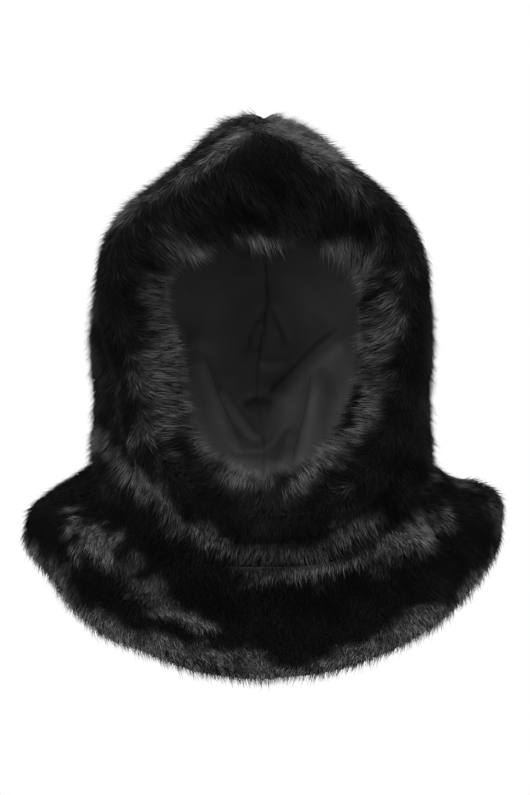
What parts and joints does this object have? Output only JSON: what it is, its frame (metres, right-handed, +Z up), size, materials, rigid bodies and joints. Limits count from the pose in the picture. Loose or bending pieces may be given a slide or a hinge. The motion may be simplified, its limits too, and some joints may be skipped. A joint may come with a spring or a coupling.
{
  "type": "fur hood",
  "caption": "Deep-pile fur hood with a folded band round the face opening, a peaked crown, a short shoulder cape and a smooth jersey lining in two halves.",
  "frame": {"origin": "where the top of the wearer's head meets the lining, on the middle seam", "axes": "+Z up, +X to the wearer's left, the face looks along -Y"},
  "size_m": [0.3971, 0.3159, 0.4665],
  "materials": {
    "fur": "deep glossy black pile, about 15 mm",
    "lining": "matt charcoal jersey knit"
  },
  "bodies": {
    "root": {"hood_panel_left": "fur", "hood_panel_right": "fur", "face_band": "fur", "shoulder_cape": "fur", "lining_left": "lining", "lining_right": "lining"}
  },
  "joints": []
}
